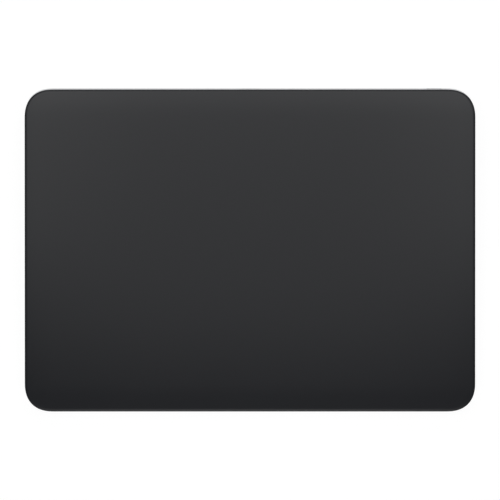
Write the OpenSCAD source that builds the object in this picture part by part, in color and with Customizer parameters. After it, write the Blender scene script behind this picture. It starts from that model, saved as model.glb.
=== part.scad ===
// Desk trackpad: a glass deck on four strain-gauged beams, in a wedge-shaped aluminium tub.
// X runs to the right, Y to the rear and Z up. The origin lies on the desk, under the middle.

/* [Glass] */
// Width of the glass, side to side
glass_w = 160; // [150:0.5:170]
// Depth of the glass, measured along its slope
glass_d = 114.6; // [108:0.2:124]
// Thickness of the glass
glass_t = 1; // [0.8:0.05:1.3]
// Rounding of the glass edge on its top face
glass_edge_r = 0.55; // [0.3:0.05:0.6]
// Rounding of the glass edge on its underside
glass_back_r = 0.15; // [0.1:0.05:0.2]
// Height of the glass above the desk at the front edge
front_h = 4.9; // [4.8:0.1:6]
// Height of the glass above the desk at the rear edge
rear_h = 10.9; // [10.7:0.1:12.5]
// Length of edge that a rounded corner takes up
corner_reach = 10.3; // [8.5:0.1:13]
// Power of the corner curve, where 2 is a circle
corner_power = 2.4; // [2:0.1:3]

/* [Deck layers] */
// Thickness of the film between glass and sensor board
bond_t = 0.1; // [0.05:0.05:0.2]
// Thickness of the sensor board
sensor_t = 0.7; // [0.5:0.05:0.8]
// Thickness of the steel stiffener
stiffener_t = 0.5; // [0.4:0.05:0.6]
// Distance from the glass edge to the sensor board
sensor_margin = 3; // [2.8:0.1:5]
// Distance from the glass edge to the bond film
bond_margin = 3.4; // [3:0.1:6]
// Distance from the glass edge to the stiffener
stiffener_margin = 4.2; // [3.5:0.1:6]
// Width of a lightening window in the stiffener
light_window_w = 16; // [8:0.5:18]
// Depth of a lightening window
light_window_d = 12; // [8:0.5:14]
// Width of the window for the chips and the ribbon
chip_window_w = 24; // [23:0.5:26]
// Depth of the window for the chips and the ribbon
chip_window_d = 22; // [20:0.5:24]
// Side of the large touch controller chip
controller_w = 7; // [5:0.1:7.5]
// Side of the small chips beside it
converter_w = 4.5; // [3:0.1:5]
// Height of the touch controller chips
controller_t = 0.8; // [0.5:0.05:0.9]

/* [Housing] */
// How far the housing stands in from the glass edge
rim_inset = 0.1; // [0.05:0.05:0.3]
// Gap between the glass and the rim of the housing
rim_gap = 0.35; // [0.35:0.05:0.5]
// Bevel on the outer edge of the rim
rim_bevel = 0.15; // [0.1:0.05:0.3]
// Thickness of the housing walls
wall_t = 2; // [1.7:0.1:2.4]
// Thickness of the housing floor
floor_t = 0.8; // [0.7:0.05:0.85]
// Rounding of the lower outer edge
bottom_r = 1.2; // [0.8:0.1:1.5]

/* [Underside] */
// Thickness of the bottom cover
cover_t = 0.6; // [0.5:0.05:0.65]
// Distance from the housing side to the bottom cover
cover_margin = 2.6; // [2:0.1:5]
// Gap round the bottom cover
cover_gap = 0.1; // [0.05:0.05:0.2]
// Diameter of a rubber foot
foot_d = 10; // [7:0.5:13]
// How far a foot stands out of the cover
foot_proud = 0.6; // [0.4:0.05:0.7]
// How deep a foot sits in the cover
foot_sink = 0.25; // [0.1:0.05:0.35]
// Rounding of the foot's lower edge
foot_round = 0.4; // [0.2:0.05:0.4]
// Distance from the glass side edge to a foot's centre
foot_side = 14; // [12:0.5:20]
// Distance from the glass front or rear edge to a foot's centre
foot_end = 13; // [12:0.5:18]

/* [Force beams] */
// Thickness of a beam plate
beam_t = 0.5; // [0.4:0.05:0.55]
// Distance from the glass side edge to the line of clamp screws
beam_side = 13; // [12:0.5:16]
// Distance from the glass front or rear edge to a beam's centre line
beam_end = 23.3; // [22:0.1:28]
// Width of a beam's clamped strip
clamp_w = 6; // [5.5:0.1:7]
// Length of a beam's clamped strip
clamp_l = 18; // [17:0.5:20]
// Length of the tongue that bends
tongue_l = 14; // [12:0.5:16]
// Width of the tongue that bends
tongue_w = 9; // [8:0.5:11]
// Distance between the two clamp screws
clamp_pitch = 12; // [10:0.5:13]
// Height of a gel pad
gel_t = 0.5; // [0.35:0.05:0.55]
// Side of a gel pad
gel_side = 7; // [5:0.5:8]
// Thickness of a strain gauge
gauge_t = 0.12; // [0.1:0.01:0.15]
// Length of a strain gauge
gauge_l = 4; // [3:0.1:5]
// Width of a strain gauge
gauge_w = 6; // [4:0.1:7]
// Radius of the bosses under the clamped strips
boss_r = 2.6; // [2.4:0.1:2.8]
// Floor of metal between a clamp screw's head and the beam
clamp_web = 0.6; // [0.4:0.05:0.65]

/* [Shaker] */
// Number of coils
coil_count = 4; // [2:1:4]
// Distance from one coil to the next
coil_pitch = 13.5; // [12.5:0.5:14]
// Wall of a coil's winding
coil_wall = 0.35; // [0.25:0.05:0.4]
// Length of a coil along its tooth
coil_l = 5.5; // [4:0.1:6]
// Width of a winding beside its tooth
coil_side = 2.4; // [1.5:0.1:2.6]
// Width of a core tooth
tooth_w = 6.5; // [5:0.1:7.5]
// Length of a core tooth
tooth_l = 7; // [6.2:0.1:8]
// Thickness of the core
core_t = 1.3; // [1:0.05:1.35]
// Depth of the core's yoke
yoke_d = 4; // [3:0.1:4.5]
// Depth of the attraction rail
rail_d = 7; // [5:0.1:7.5]
// Distance from the middle of the deck forward to the rail's rear face
rail_back = 15.5; // [15:0.1:17]
// Thickness of the shaker bracket
bracket_t = 0.5; // [0.4:0.05:0.6]
// Depth of the bracket's flange behind the yoke
flange_d = 3.5; // [3.2:0.1:4]

/* [Battery] */
// Gap between the battery's terrace and the main board
cell_gap = 8.2; // [6:0.1:14]
// Depth of the battery cell
cell_d = 36; // [30:0.5:38]
// Thickness of the battery cell
cell_t = 3.3; // [2.8:0.05:3.4]
// Rounding of the cell's edges
cell_r = 1.1; // [0.8:0.1:1.3]
// Length of the terrace that the cell's tabs leave by
terrace_l = 4; // [3.8:0.1:5]
// Thickness of that terrace
terrace_t = 0.4; // [0.3:0.05:0.5]
// Thickness of the tape under the cell
tape_t = 0.15; // [0.1:0.05:0.2]
// Width of the battery's own board
guard_w = 3.4; // [3:0.1:3.6]
// Depth of the battery's own board
guard_d = 26; // [20:0.5:30]
// Thickness of the battery's own board
guard_t = 0.8; // [0.6:0.05:1]

/* [Main board] */
// Width of the main board
main_w = 27; // [26:0.1:29]
// Thickness of the main board
main_t = 0.8; // [0.6:0.05:1]
// Height of the stand-offs under the main board
main_lift = 1; // [0.8:0.05:1.1]
// Distance from a board's edge to its screw
main_screw_edge = 2.4; // [2.2:0.1:3]
// Side of the processor
processor_w = 7; // [5:0.1:7.5]
// Side of the shaker's driver
driver_w = 5; // [4:0.1:5.5]
// Side of the charger
charger_w = 4; // [3:0.1:4.5]
// Side of the choke
choke_w = 3; // [2:0.1:3.5]
// Height of the chips
chip_t = 0.8; // [0.6:0.05:1]
// Height of the choke
choke_t = 1.2; // [0.8:0.05:1.3]
// Height of the connectors on the main board
conn_t = 0.5; // [0.4:0.05:0.6]
// Length of the connectors at the board's edge
conn_l = 3.7; // [3:0.1:4]
// Thickness of the ribbons
ribbon_t = 0.16; // [0.1:0.02:0.2]
// How far a ribbon runs on before it bends
ribbon_run = 2; // [1.5:0.1:2.5]
// Width of the ribbon from the sensor board
sensor_flex_w = 8; // [6:0.1:8]
// Width of the ribbon from the battery
battery_flex_w = 8; // [6:0.1:9]
// Width of the ribbon from the port
port_flex_w = 3; // [2.5:0.1:3.2]
// Width of the ribbon from the switch
switch_flex_w = 2.4; // [2:0.1:2.6]
// Width of the shield over the radio
shield_w = 13; // [10:0.1:14]
// Depth of the shield over the radio
shield_d = 11; // [9:0.1:12]
// Height of the shield over the radio
shield_h = 1.5; // [1.2:0.05:1.7]
// Thickness of the shield's sheet
shield_t = 0.2; // [0.15:0.05:0.3]
// Distance from the board's right edge to the shield
shield_side = 3; // [2.5:0.1:4]
// Distance from the board's rear edge to the shield
shield_end = 5; // [4.8:0.1:6]

/* [Antenna] */
// Width of the antenna's carrier
carrier_w = 8; // [7:0.1:9]
// Depth of the antenna's carrier
carrier_d = 22; // [20:0.1:24]
// Height of the antenna's carrier
carrier_h = 1.2; // [0.8:0.05:1.5]
// Width of the window in the floor under it
window_w = 5; // [4:0.1:6]
// Depth of the window in the floor under it
window_d = 18; // [14:0.1:19]
// Thickness of the antenna's foil
foil_t = 0.12; // [0.1:0.01:0.15]

/* [Port] */
// Width of the port's mouth
mouth_w = 8.34; // [8.2:0.01:8.5]
// Height of the port's mouth
mouth_h = 2.56; // [2.4:0.01:2.7]
// Thickness of the port's shell
port_shell_t = 0.3; // [0.25:0.01:0.35]
// Length of the port's shell
port_l = 7; // [6.8:0.1:7.6]
// Height of the port's middle above the desk
port_z = 5.1; // [4.8:0.05:5.3]
// How far the shell's mouth lies inside the wall
port_recess = 0.4; // [0.2:0.05:0.8]
// Gap round the shell in the wall
port_gap = 0.12; // [0.1:0.01:0.2]
// Bevel round the port's opening in the wall
port_bevel = 0.25; // [0.15:0.05:0.35]
// Width of the port's tongue
blade_w = 6.6; // [6.2:0.05:6.8]
// Length of the port's tongue
blade_l = 4.4; // [4:0.05:4.6]
// Thickness of the port's tongue between its contacts
blade_t = 0.5; // [0.4:0.05:0.6]
// Number of contacts on each face of the tongue
contact_count = 12; // [6:1:12]
// Distance from one contact to the next
contact_pitch = 0.5; // [0.4:0.01:0.5]
// Thickness of a contact
contact_t = 0.1; // [0.05:0.01:0.12]
// Distance between the screws of the port's strap
port_screw_pitch = 16.4; // [15.5:0.1:18]
// Thickness of the port's strap
strap_t = 0.4; // [0.3:0.05:0.5]
// Width of the port's strap
strap_d = 3.4; // [3:0.1:4]

/* [Power switch] */
// Distance from the glass side edge to the middle of the slot
switch_side = 13.85; // [13.5:0.05:18]
// Depth of the slot's middle below the glass
switch_drop = 5.8; // [5.5:0.1:6.2]
// Length of the slider's face
nub_l = 5.7; // [5:0.1:6]
// Height of the slider's face
nub_h = 2.2; // [1.8:0.1:2.6]
// How far the slider stands out of the wall
nub_proud = 0.2; // [0.1:0.05:0.4]
// Travel of the slider
switch_travel = 1.6; // [1.2:0.1:1.8]
// Gap round the slider in its slot
slot_gap = 0.1; // [0.08:0.01:0.15]
// Bevel round the slot, and on the slider's face
slot_bevel = 0.15; // [0.1:0.01:0.2]
// Wall left in front of the slider's flange
switch_web = 1.2; // [1:0.05:1.3]
// Thickness of the slider's flange
switch_flange_t = 0.6; // [0.5:0.05:0.7]
// How far the flange reaches past the edges of the slot
flange_lap = 0.6; // [0.4:0.05:0.7]
// Length of the electrical switch
switch_l = 7.2; // [6.8:0.1:8]
// Height of the electrical switch
switch_h = 3.2; // [2.6:0.1:3.6]
// Depth of the electrical switch
switch_d = 1.5; // [1.2:0.1:1.8]
// Width of the switch's knob
knob_w = 1.3; // [1:0.05:1.5]
// Height of the switch's knob
knob_h = 1.5; // [1.2:0.05:1.8]
// Length of the switch's knob outside its case
knob_l = 1.3; // [1.1:0.05:1.5]
// Depth of the foot of the switch's bracket
switch_foot_d = 5; // [4.5:0.1:6]

/* [Screws] */
// Radius of a clamp screw's shank
clamp_screw_r = 0.8; // [0.7:0.05:0.9]
// Radius of a clamp screw's head
clamp_head_r = 1.5; // [1.3:0.05:1.6]
// Thickness of a clamp screw's head
clamp_head_t = 0.5; // [0.4:0.05:0.55]
// Radius of a small screw's shank
small_screw_r = 0.6; // [0.5:0.05:0.65]
// Radius of a small screw's head
small_head_r = 1.2; // [1:0.05:1.3]
// Thickness of a small screw's head
small_head_t = 0.45; // [0.35:0.05:0.5]
// Length of a small screw's thread below what it holds
small_grip = 1.1; // [0.8:0.05:1.15]
// Gap between a screw and its hole
screw_gap = 0.06; // [0.04:0.01:0.1]

/* [Travel and clearance] */
// How far the deck can be pressed in
press_travel = 0.2; // [0.1:0.01:0.22]
// How far the shaker can move the deck each way
shift_travel = 0.15; // [0.1:0.01:0.2]
// Clearance left between moving pieces at the end of their travel
run_gap = 0.2; // [0.15:0.01:0.22]
// Room round pieces that are set in place
set_gap = 0.3; // [0.2:0.05:0.5]

/* [Hidden] */
$fn = 48;
corner_steps = 20;
edge_steps = 6;
bottom_steps = 6;
cut = 1; // how far a cutting shape runs past what it cuts

// Sizes of one piece, gathered.
light_window = [light_window_w, light_window_d];
chip_window = [chip_window_w, chip_window_d];
clamp_size = [clamp_w, clamp_l];
tongue_size = [tongue_l, tongue_w];
gauge_size = [gauge_l, gauge_w];
tooth_size = [tooth_w, tooth_l];
terrace_size = [terrace_l, terrace_t];
guard_size = [guard_w, guard_d, guard_t];
shield_size = [shield_w, shield_d, shield_h];
carrier_size = [carrier_w, carrier_d, carrier_h];
antenna_window = [window_w, window_d];
port_mouth = [mouth_w, mouth_h];
port_tongue_size = [blade_w, blade_l, blade_t];
nub_size = [nub_l, nub_h];
switch_size = [switch_l, switch_h, switch_d];
knob_size = [knob_w, knob_h, knob_l];
clamp_head = [clamp_head_r, clamp_head_t];
small_head = [small_head_r, small_head_t];

// Levels and places, worked out from the sizes above.
tilt = asin((rear_h - front_h) / glass_d);
deck_z = (front_h + rear_h) / 2;
base_z = foot_proud;
floor_z = base_z + cover_t;
floor_top = floor_z + floor_t;
wall_v = glass_d / 2 - rim_inset;
rim_w = -glass_t - rim_gap;

// Rearmost and foremost reach from the deck's middle, so that the part is centred on the desk.
rear_reach = wall_v / cos(tilt) + (deck_z - base_z - bottom_r) * tan(tilt);
front_reach = glass_d / 2 * cos(tilt) - glass_edge_r * sin(tilt);
deck_y = (front_reach - rear_reach) / 2;

// Tops of the deck's layers below the glass, and of the beams and their bosses.
bond_w = -glass_t;
sensor_w = bond_w - bond_t;
stiffener_w = sensor_w - sensor_t;
under_w = stiffener_w - stiffener_t;
beam_w = under_w - gel_t;
seat_w = beam_w - beam_t;
beam_x = glass_w / 2 - beam_side;
beam_v = glass_d / 2 - beam_end;

// Shaker, from the deck down and from the rail back.
coil_w = under_w - press_travel - run_gap;
core_w = coil_w - coil_wall;
core_under_w = core_w - core_t;
rail_t = under_w - core_under_w - press_travel;
rail_l = coil_count * coil_pitch;
pole_v = -rail_back + shift_travel + run_gap;
yoke_v = pole_v + tooth_size.y;
flange_v = yoke_v + yoke_d;
shaker_screw_v = flange_v + flange_d / 2;
shaker_seat_w = core_under_w - bracket_t;

// Port, from the rear wall.
port_half = port_mouth / 2 + [port_shell_t, port_shell_t];
port_face = rear_y(port_z + port_half.y) - port_recess;
port_back = port_face - port_l;
port_flex_y = port_back - set_gap;
strap_y = port_back + strap_d / 2 + set_gap;
lug_z = port_z - port_half.y / 2;

// Main board, from the shaker's flange to the port's tail, beside the bosses at the right.
inner_x = beam_x - boss_r - 2 * set_gap - small_head.x;
main_x = inner_x - main_w;
main_y = deck_point(flange_v, core_under_w).x - set_gap;
main_size = [main_w, port_back - main_y, main_t];
main_z = floor_top + main_lift;
main_top = main_z + main_t;
ribbon_z = main_top + conn_t + ribbon_t / 2;

// Battery, in front of the port's ribbon, from the bosses at the left to the main board.
cell_x = -inner_x;
cell_y = port_flex_y - port_flex_w - set_gap - cell_d;
cell_size = [main_x - cell_gap - terrace_l - cell_x, cell_d, cell_t];
cell_z = floor_top + tape_t;
terrace_z = cell_z + cell_size.z / 3;
guard_x = cell_x + cell_size.x + set_gap;
guard_y = cell_y + (cell_size.y - guard_size.y) / 2;
guard_z = terrace_z + terrace_size.y;
battery_flex_y = guard_y + guard_size.y - set_gap;

// Antenna, outside the main board.
carrier_x = inner_x + 2 * set_gap + small_head.x;
carrier_y = -carrier_size.y / 2;
carrier_top = floor_top + carrier_size.z;

// Power switch, from the rear wall.
switch_x = glass_w / 2 - switch_side;
slot_l = nub_size.x + switch_travel + 2 * slot_gap;
slot_h = nub_size.y + 2 * slot_gap;
flange_x = -switch_travel / 2;
flange_l = slot_l + switch_travel + 2 * flange_lap;
flange_h = slot_h + 2 * flange_lap;
flange_back = switch_web + slot_gap + switch_flange_t;
switch_front = flange_back + run_gap + knob_size.z;
switch_back = switch_front + switch_size.z;
switch_plate_x = switch_x - switch_size.x / 2;
switch_plate_v = wall_v - switch_back - ribbon_t - bracket_t / 2;
switch_fold = deck_point(switch_plate_v, level_at(switch_plate_v, floor_top + bracket_t / 2));
switch_screw_y = switch_fold.x - switch_foot_d / 2 - bracket_t;
switch_tail_x = switch_plate_x - switch_flex_w - set_gap;

CORNERS = ["front_left", "front_right", "rear_left", "rear_right"];

// Which side of the middle a corner lies on, across and along.
function side_of(corner) = [corner % 2 == 0 ? -1 : 1, corner < 2 ? -1 : 1];

// A point of the deck's own frame, v along the slope and w square to it, as [y, z] on the desk.
function deck_point(v, w) =
    [deck_y + v * cos(tilt) - w * sin(tilt), deck_z + v * sin(tilt) + w * cos(tilt)];

// The level w in the deck's frame that has height z over the desk, at distance v up the slope.
function level_at(v, z) = (z - deck_z - v * sin(tilt)) / cos(tilt);

// Where the outside of the rear wall lies at height z.
function rear_y(z) = deck_y + wall_v / cos(tilt) + (deck_z - z) * tan(tilt);

// Quarter of the corner curve, |x|^n + |y|^n = 1, at the angle a.
function corner_curve(a) = [pow(cos(a), 2 / corner_power), pow(sin(a), 2 / corner_power)];

// The trackpad's outline, drawn in from the glass edge by inset.
function outline(inset) =
    let (reach = max(corner_reach - inset, 1), w = glass_w / 2 - inset, d = glass_d / 2 - inset)
    [for (quarter = [0:3], i = [0:corner_steps])
        let (c = corner_curve(90 * i / corner_steps))
        let (turned = [c, [-c.y, c.x], -c, [c.y, -c.x]][quarter])
        let (side = [[1, 1], [-1, 1], [-1, -1], [1, -1]][quarter])
        [side.x * (w - reach) + reach * turned.x, side.y * (d - reach) + reach * turned.y]];

// That outline as a ring of points: at level w of the deck, on the desk's frame at level w of the
// deck, and where the walls square to the deck meet the height z over the desk.
function deck_ring(inset, w) = [for (p = outline(inset)) [p.x, p.y, w]];
function rim_ring(inset, w) = [for (p = outline(inset)) [p.x, each deck_point(p.y, w)]];
function desk_outline(inset, z) =
    [for (p = outline(inset)) [p.x, deck_y + p.y / cos(tilt) + (deck_z - z) * tan(tilt)]];
function desk_ring(inset, z) = [for (p = desk_outline(inset, z)) [p.x, p.y, z]];

// Strip of thickness t along a bent line of points, mitred at its bends.
function unit(p) = p / norm(p);
function left_of(p) = [-p.y, p.x];
function mitre(p, i) =
    let (last = len(p) - 1)
    let (before = left_of(unit(i > 0 ? p[i] - p[i - 1] : p[1] - p[0])))
    let (after = left_of(unit(i < last ? p[i + 1] - p[i] : p[last] - p[last - 1])))
    let (m = unit(before + after))
    m / (m * before);
function strip(p, t) = concat(
    [for (i = [0:len(p) - 1]) p[i] + mitre(p, i) * t / 2],
    [for (i = [len(p) - 1:-1:0]) p[i] - mitre(p, i) * t / 2]);

// Solid through a stack of rings with equal counts of points, closed at both ends.
module loft(rings) {
    n = len(rings[0]);
    last = len(rings) - 1;
    polyhedron(
        points = [for (ring = rings) each ring],
        faces = concat(
            [[for (i = [0:n - 1]) i]],
            [[for (i = [n - 1:-1:0]) last * n + i]],
            [for (k = [0:last - 1], i = [0:n - 1]) [k * n + i, k * n + n + i, k * n + n + (i + 1) % n]],
            [for (k = [0:last - 1], i = [0:n - 1])
                [k * n + i, k * n + n + (i + 1) % n, k * n + (i + 1) % n]]));
}

// Places children in the deck's frame: the middle of the glass's top face, with Z square to it.
module on_deck() translate([0, deck_y, deck_z]) rotate([tilt, 0, 0]) children();

// Places children at a corner of the deck, with -X towards the middle.
module at_beam(corner) {
    side = side_of(corner);
    on_deck()
        translate([side.x * beam_x, side.y * beam_v, 0])
            mirror([side.x < 0 ? 1 : 0, 0, 0]) children();
}

// Stands a drawing up: its Y becomes height, and it is extruded inwards from the rear, or across.
module from_rear(y, depth) translate([0, y, 0]) rotate([90, 0, 0]) linear_extrude(depth) children();
module across(x, width) translate([x, 0, 0]) rotate([90, 0, 90]) linear_extrude(width) children();

// Places children at the port's mouth, on the rear wall, or at the slot's middle there, with Z inwards.
module at_port() translate([0, port_face, port_z]) rotate([90, 0, 0]) children();
module at_wall(x, w) on_deck() translate([x, wall_v, w]) rotate([90, 0, 0]) children();
module at_switch() at_wall(switch_x, -switch_drop) children();

// Rectangle with round corners, and slot with round ends.
module rounded(size, r) {
    square([size.x - 2 * r, size.y], center = true);
    square([size.x, size.y - 2 * r], center = true);
    for (x = [-1, 1], y = [-1, 1])
        translate([x * (size.x / 2 - r), y * (size.y / 2 - r)]) circle(r);
}
module stadium(size) {
    square([size.x - size.y, size.y], center = true);
    for (x = [-1, 1]) translate([x * (size.x - size.y) / 2, 0]) circle(size.y / 2);
}

// Bevel of such a slot: larger by grow all round at z = 0, and down to its size at z = depth.
module stadium_bevel(size, grow, depth) {
    r = size.y / 2;
    straight = size.x - size.y;
    for (x = [-1, 1]) translate([x * straight / 2, 0, 0]) cylinder(r1 = r + grow, r2 = r, h = depth);
    across(-straight / 2, straight)
        polygon([[-r - grow, 0], [r + grow, 0], [r, depth], [-r, depth]]);
}

// Cutter for a bevel of width b round a slot in the plane z = 0, which runs on past it both ways.
module bevel_cutter(size, b) translate([0, 0, -b]) stadium_bevel(size - [2 * b, 2 * b], 3 * b, 3 * b);

// Box that is centred across and along, and stands on its underside.
module block(size) translate([-size.x / 2, -size.y / 2, 0]) cube(size);

// Screw with its head on top, seated at z = 0, with a six-sided drive.
module screw(r, grip, head) {
    drive_r = 0.55 * r;
    difference() {
        union() {
            cylinder(r = head.x, h = head.y);
            translate([0, 0, -grip]) cylinder(r = r, h = grip + head.y / 2);
        }
        translate([0, 0, head.y / 3]) cylinder(r = drive_r, h = head.y, $fn = 6);
    }
}
module small_screw(held) screw(small_screw_r, held + small_grip, small_head);

// Hole for a small screw's thread, going down from z = 0.
module thread_hole() translate([0, 0, -small_grip - screw_gap])
    cylinder(r = small_screw_r + screw_gap, h = small_grip + screw_gap + cut);

// Boss that stands on the housing floor under the point (x, v) of the deck, with its top at w.
module deck_boss(x, v, w, r) {
    foot_w = level_at(v, floor_top - floor_t / 2);
    on_deck() translate([x, v, foot_w]) cylinder(r = r, h = w - foot_w);
}

// Boss that stands upright on the housing floor, with its top at height z.
module floor_boss(x, y, z) {
    foot_z = floor_top - floor_t / 2;
    translate([x, y, foot_z]) cylinder(r = small_head.x + set_gap, h = z - foot_z);
}

// Slice of the deck's stack, t thick, with its top at level w.
module deck_layer(inset, w, t)
    on_deck() translate([0, 0, w - t]) linear_extrude(t) polygon(outline(inset));

// Centres of the screws: under the beams, in the shaker's flange, the main board, the port's strap,
// the switch's bracket and the rail.
clamp_points = [for (c = [0:3], s = [-1, 1])
    let (side = side_of(c)) [side.x * beam_x, side.y * beam_v + s * clamp_pitch / 2]];
shaker_points = [for (i = [0:coil_count - 1])
    [(i - (coil_count - 1) / 2) * coil_pitch, shaker_screw_v]];
main_points = [
    [main_x + main_screw_edge, (battery_flex_y + port_flex_y - port_flex_w) / 2],
    [switch_tail_x - small_head.x - set_gap, main_y + main_size.y - main_screw_edge],
    [main_x + main_size.x - main_screw_edge, main_y + main_screw_edge]];
port_points = [for (s = [-1, 1]) [s * port_screw_pitch / 2, strap_y]];
switch_points = [for (s = [-1, 1])
    [switch_x + s * (switch_size.x / 2 - small_head.x - set_gap), switch_screw_y]];
rail_points = [for (s = [-1, 0, 1]) [s * coil_pitch, -rail_back - rail_d / 2]];

// Housing: a lofted tub, machined inside, with bosses on its floor and its openings in the rear wall.
module housing() {
    color([0.82, 0.83, 0.84])
    difference() {
        union() {
            difference() {
                housing_form();
                housing_cavity();
            }
            for (p = clamp_points) deck_boss(p.x, p.y, seat_w, boss_r);
            for (p = shaker_points) deck_boss(p.x, p.y, shaker_seat_w, small_head.x + set_gap);
            for (p = main_points) floor_boss(p.x, p.y, main_z);
            for (p = port_points) floor_boss(p.x, p.y, lug_z - strap_t / 2);
            port_seat();
        }
        translate([0, 0, base_z - cut])
            linear_extrude(cut + cover_t) polygon(desk_outline(rim_inset + cover_margin, base_z));
        for (p = clamp_points) on_deck() translate([p.x, p.y, seat_w]) clamp_well();
        for (p = shaker_points) on_deck() translate([p.x, p.y, shaker_seat_w]) thread_hole();
        for (p = main_points) translate([p.x, p.y, main_z]) thread_hole();
        for (p = port_points) translate([p.x, p.y, lug_z - strap_t / 2]) thread_hole();
        for (p = switch_points) translate([p.x, p.y, floor_top]) thread_hole();
        port_opening();
        switch_opening();
        antenna_opening();
    }
}

// Outside of the housing: rounded below, with walls square to the deck and a bevelled rim.
module housing_form() {
    loft(concat(
        [for (i = [0:bottom_steps])
            let (a = 90 * i / bottom_steps)
            desk_ring(rim_inset + bottom_r * (1 - sin(a)), base_z + bottom_r * (1 - cos(a)))],
        [rim_ring(rim_inset, rim_w - rim_bevel), rim_ring(rim_inset + rim_bevel, rim_w)]));
}

// Inside of the housing, down to its floor.
module housing_cavity() {
    difference() {
        deck_layer(rim_inset + wall_t, 0, rear_h);
        translate([0, 0, floor_top - rear_h]) block([glass_w, 2 * glass_d, rear_h]);
    }
}

// Well for a clamp screw, open to the underside, with a web that the head pulls against.
module clamp_well() {
    translate([0, 0, -clamp_web - cut])
        cylinder(r = clamp_screw_r + screw_gap, h = clamp_web + 2 * cut);
    translate([0, 0, -clamp_web - rear_h]) cylinder(r = clamp_head.x + 2 * screw_gap, h = rear_h);
}

// Seat that the port's shell lies on.
module port_seat() {
    seat_l = rear_y(port_z) - wall_t / 2 - port_back - set_gap;
    translate([0, port_back + set_gap + seat_l / 2, floor_top - floor_t / 2])
        block([port_mouth.x - port_mouth.y, seat_l, port_z - port_half.y - floor_top + floor_t / 2]);
}

// Opening for the port, bevelled outside.
module port_opening() {
    opening = 2 * port_half + [2 * port_gap, 2 * port_gap];
    at_port() translate([0, 0, -port_recess - cut])
        linear_extrude(wall_t + port_recess + 2 * cut) stadium(opening);
    at_wall(0, level_at(wall_v, port_z)) bevel_cutter(opening, port_bevel);
}

// Slot in the rear wall, bevelled outside, and the pocket that the slider's flange runs in.
module switch_opening() {
    pocket = [flange_l + switch_travel + 2 * run_gap, flange_h + 2 * run_gap];
    at_switch() {
        translate([0, 0, -cut]) linear_extrude(wall_t + cut) stadium([slot_l, slot_h]);
        bevel_cutter([slot_l, slot_h], slot_bevel);
        translate([0, 0, switch_web]) linear_extrude(wall_t) square(pocket, center = true);
    }
}

module antenna_opening() {
    translate([carrier_x + carrier_size.x / 2, carrier_y + carrier_size.y / 2, floor_z - cut])
        linear_extrude(floor_t + 2 * cut) rounded(antenna_window, antenna_window.x / 4);
}

// Bottom cover: a thin sheet let into the underside, with a shallow pocket for each foot.
module bottom_cover() {
    color([0.86, 0.86, 0.87])
    difference() {
        translate([0, 0, base_z])
            linear_extrude(cover_t) polygon(desk_outline(rim_inset + cover_margin + cover_gap, base_z));
        for (c = [0:3]) translate([each foot_place(c), base_z - cut])
            cylinder(r = foot_d / 2 + cover_gap, h = foot_sink + cut);
    }
}

// Rubber foot: a disc with a rounded lower edge.
function foot_place(corner) =
    let (side = side_of(corner))
    [side.x * (glass_w / 2 - foot_side), deck_y + side.y * (glass_d / 2 - foot_end)];
module foot(corner) {
    color([0.25, 0.25, 0.26])
    translate([each foot_place(corner), 0])
        rotate_extrude() {
            square([foot_d / 2 - foot_round, foot_proud + foot_sink]);
            translate([0, foot_round]) square([foot_d / 2, foot_proud + foot_sink - foot_round]);
            intersection() {
                translate([foot_d / 2 - foot_round, foot_round]) circle(foot_round);
                translate([foot_d / 2 - foot_round, 0]) square(foot_round);
            }
        }
}

// Glass: the outline lofted through a rounded edge, so its top face runs over to its side.
module touch_glass() {
    color([0.1, 0.1, 0.11])
    on_deck()
        loft(concat(
            [deck_ring(glass_back_r, -glass_t), deck_ring(0, glass_back_r - glass_t)],
            [for (i = [0:edge_steps])
                let (a = 90 * i / edge_steps)
                deck_ring(glass_edge_r * (1 - cos(a)), glass_edge_r * (sin(a) - 1))]));
}

module deck_bond() {
    color([0.75, 0.75, 0.7])
    deck_layer(bond_margin, bond_w, bond_t);
}

module sensor_board() {
    color([0.1, 0.25, 0.15])
    deck_layer(sensor_margin, sensor_w, sensor_t);
}

// Middle of the stiffener's window, over the main board.
chip_window_x = main_x + main_size.x / 2;
chip_window_v = main_size.y / 4;

// Chips in that window, each by its place as a share of the window, and its side.
module touch_controllers() {
    color([0.12, 0.12, 0.13])
    on_deck()
        for (chip = [
            [-1 / 3, 2 / 7, controller_w],
            [1 / 3, 2 / 7, converter_w],
            [-1 / 3, -1 / 4, converter_w]])
            translate([
                chip_window_x + chip.x * chip_window.x,
                chip_window_v + chip.y * chip_window.y,
                stiffener_w - controller_t])
                block([chip.z, chip.z, controller_t]);
}

// Stiffener: a stamped plate with lightening windows, one for chips and ribbon, and the rail's holes.
module deck_stiffener() {
    window_r = 2;
    window_pitch = 1.5 * light_window.x;
    color([0.6, 0.61, 0.63])
    difference() {
        deck_layer(stiffener_margin, stiffener_w, stiffener_t);
        on_deck() translate([0, 0, under_w - cut]) linear_extrude(stiffener_t + 2 * cut) {
            for (x = [-1.5:1:1.5], v = [-1, 1])
                translate([x * window_pitch, v * (beam_v + gel_side / 2)])
                    rounded(light_window, window_r);
            translate([chip_window_x, chip_window_v]) rounded(chip_window, window_r);
            for (p = rail_points) translate(p) circle(small_screw_r + screw_gap);
        }
    }
}

// Rail: the steel bar that the shaker pulls, hung from the stiffener by screws sunk in its underside.
module attraction_rail() {
    color([0.5, 0.5, 0.52])
    on_deck()
    difference() {
        translate([0, -rail_back - rail_d / 2, under_w - rail_t]) block([rail_l, rail_d, rail_t]);
        for (p = rail_points) translate([p.x, p.y, under_w - rail_t]) {
            translate([0, 0, -cut]) cylinder(r = small_screw_r + screw_gap, h = rail_t + 2 * cut);
            translate([0, 0, -cut])
                cylinder(r = small_head.x + screw_gap, h = small_head.y + screw_gap + cut);
        }
    }
}

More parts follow.
